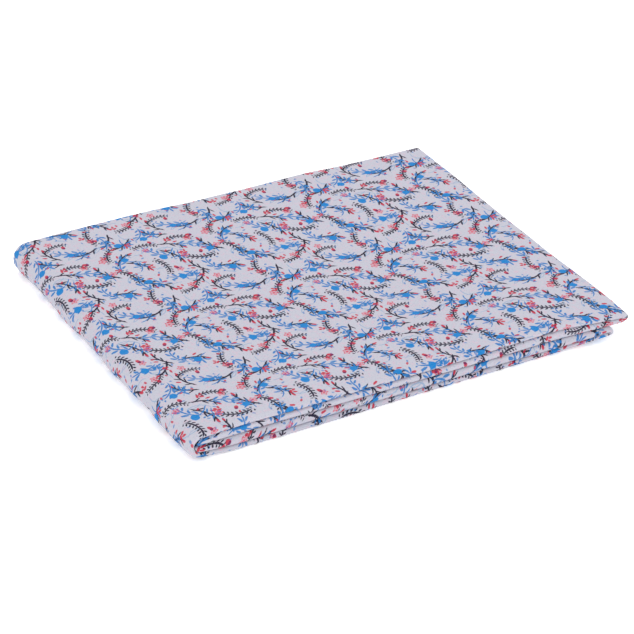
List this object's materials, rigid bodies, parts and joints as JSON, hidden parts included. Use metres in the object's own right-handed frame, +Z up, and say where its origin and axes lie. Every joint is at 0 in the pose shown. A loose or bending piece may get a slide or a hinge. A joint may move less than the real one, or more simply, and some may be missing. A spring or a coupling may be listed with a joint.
{
  "type": "folded ironing board cover",
  "caption": "Folded pack of a felt-backed printed cotton ironing board cover, hemmed edges behind, that opens like a book about its soft fold.",
  "frame": {"origin": "centre of the folded pack's bounding box, on the surface it lies on", "axes": "+X along the long side, away from the book fold; -Y to the rounded lengthwise fold, +Y to the hemmed edges; +Z up"},
  "size_m": [0.322, 0.258, 0.0204],
  "materials": {
    "printed_cotton": "plain-weave cotton, matte, small blue, navy and red floral print on pale lilac grey",
    "felt": "needled polyester felt, matte off-white",
    "thread": "spun polyester sewing thread, pale lilac grey"
  },
  "bodies": {
    "lower_half": {"lower_cotton": "printed_cotton", "lower_felt": "felt", "lower_edge_hem": "printed_cotton", "lower_end_hem": "printed_cotton", "lower_thread": "thread"},
    "upper_half": {"upper_cotton": "printed_cotton", "upper_felt": "felt", "upper_edge_hem": "printed_cotton", "upper_end_hem": "printed_cotton", "upper_thread": "thread"}
  },
  "joints": [
    {"name": "book_fold", "type": "hinge", "parent": "lower_half", "child": "upper_half", "pos_m": [-0.161, 0, 0.0102], "axis": [0, -1, 0], "range_deg": [0, 180]}
  ]
}
